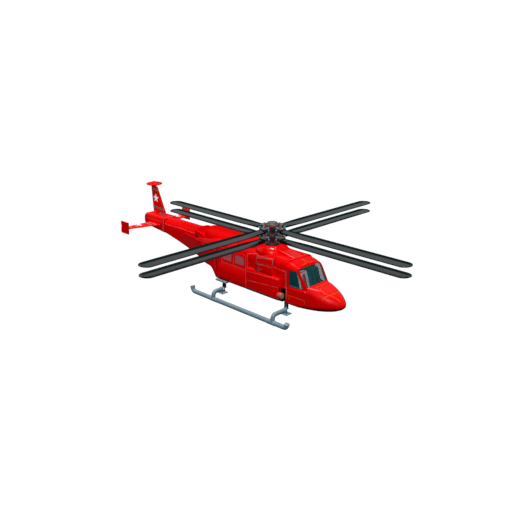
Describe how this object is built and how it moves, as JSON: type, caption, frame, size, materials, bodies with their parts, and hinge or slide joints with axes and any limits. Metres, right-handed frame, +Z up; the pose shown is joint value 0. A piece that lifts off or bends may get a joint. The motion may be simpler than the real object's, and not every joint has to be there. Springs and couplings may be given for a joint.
{
  "type": "coaxial-rotor utility helicopter on skids",
  "caption": "Utility helicopter with two stacked rotors, glazed cockpit, sliding cabin doors, tail boom with fin and stabilisers, and skids on struts.",
  "frame": {"origin": "on the ground, under the middle of the box that the rotor discs and the tail fill", "axes": "+X to the nose, +Y to port, +Z up"},
  "size_m": [14.64, 12.8, 4.07],
  "materials": {
    "red_enamel": "glossy red two-pack enamel",
    "blade_coating": "dark grey erosion-resistant coating",
    "hub_alloy": "dark machined alloy, satin",
    "gear_paint": "blue-grey paint, satin",
    "strut_black": "black paint, satin",
    "tinted_acrylic": "tinted acrylic, polished",
    "cabin_acrylic": "clear acrylic, polished",
    "seat_fabric": "woven upholstery",
    "instrument_black": "matt black moulding",
    "engine_casting": "grey casting",
    "lamp_housing": "red lamp housing with a clear lens"
  },
  "bodies": {
    "airframe": {"aft_fuselage": "red_enamel", "cabin_bench": "seat_fabric", "cabin_floor": "red_enamel", "cabin_roof": "red_enamel", "cabin_wall_port": "red_enamel", "cabin_wall_starboard": "red_enamel", "cockpit_frame": "red_enamel", "door_rail_port": "red_enamel", "door_rail_starboard": "red_enamel", "engine": "engine_casting", "engine_cowling": "red_enamel", "exhaust_trough": "red_enamel", "fin_cap": "red_enamel", "gearbox": "engine_casting", "instrument_panel": "instrument_black", "landing_light_port": "lamp_housing", "landing_light_starboard": "lamp_housing", "mast_fairing": "red_enamel", "nose_shell": "red_enamel", "seat_port": "seat_fabric", "seat_starboard": "seat_fabric", "side_window_port": "tinted_acrylic", "side_window_starboard": "tinted_acrylic", "skid_arm_front_port": "gear_paint", "skid_arm_front_starboard": "gear_paint", "skid_arm_rear_port": "gear_paint", "skid_arm_rear_starboard": "gear_paint", "skid_tube_port": "gear_paint", "skid_tube_starboard": "gear_paint", "sponson_port": "red_enamel", "sponson_starboard": "red_enamel", "stabiliser_port": "red_enamel", "stabiliser_starboard": "red_enamel", "strut_front_port": "strut_black", "strut_front_starboard": "strut_black", "strut_rear_port": "strut_black", "strut_rear_starboard": "strut_black", "swashplate": "hub_alloy", "tail_boom": "red_enamel", "tail_box": "red_enamel", "tail_fin": "red_enamel", "windscreen": "tinted_acrylic"},
    "lower_rotor": {"lower_rotor_blade_1": "blade_coating", "lower_rotor_blade_2": "blade_coating", "lower_rotor_blade_3": "blade_coating", "lower_rotor_blade_4": "blade_coating", "lower_rotor_hub": "hub_alloy"},
    "upper_rotor": {"upper_rotor_blade_1": "blade_coating", "upper_rotor_blade_2": "blade_coating", "upper_rotor_blade_3": "blade_coating", "upper_rotor_blade_4": "blade_coating", "upper_rotor_hub": "hub_alloy"},
    "door_starboard": {"cabin_door_starboard": "red_enamel", "door_glass_starboard": "cabin_acrylic"},
    "door_port": {"cabin_door_port": "red_enamel", "door_glass_port": "cabin_acrylic"},
    "hatch": {"nose_hatch": "red_enamel"}
  },
  "joints": [
    {"name": "lower_rotor_spin", "type": "hinge", "parent": "airframe", "child": "lower_rotor", "pos_m": [0.92, 0, 2.94], "axis": [0, 0, 1], "continuous": true},
    {"name": "upper_rotor_spin", "type": "hinge", "parent": "airframe", "child": "upper_rotor", "pos_m": [0.92, 0, 3.32], "axis": [0, 0, 1], "continuous": true},
    {"name": "starboard_door_slide", "type": "slide", "parent": "airframe", "child": "door_starboard", "axis": [-1, 0, 0], "range_m": [0, 1.4]},
    {"name": "port_door_slide", "type": "slide", "parent": "airframe", "child": "door_port", "axis": [-1, 0, 0], "range_m": [0, 1.4]},
    {"name": "nose_hatch_hinge", "type": "hinge", "parent": "airframe", "child": "hatch", "pos_m": [3.557, 0, 1.604], "axis": [0, -1, 0], "range_deg": [0, 75]}
  ],
  "couplings": [
    {"joint": "lower_rotor_spin", "follows": "upper_rotor_spin", "ratio": -1}
  ]
}
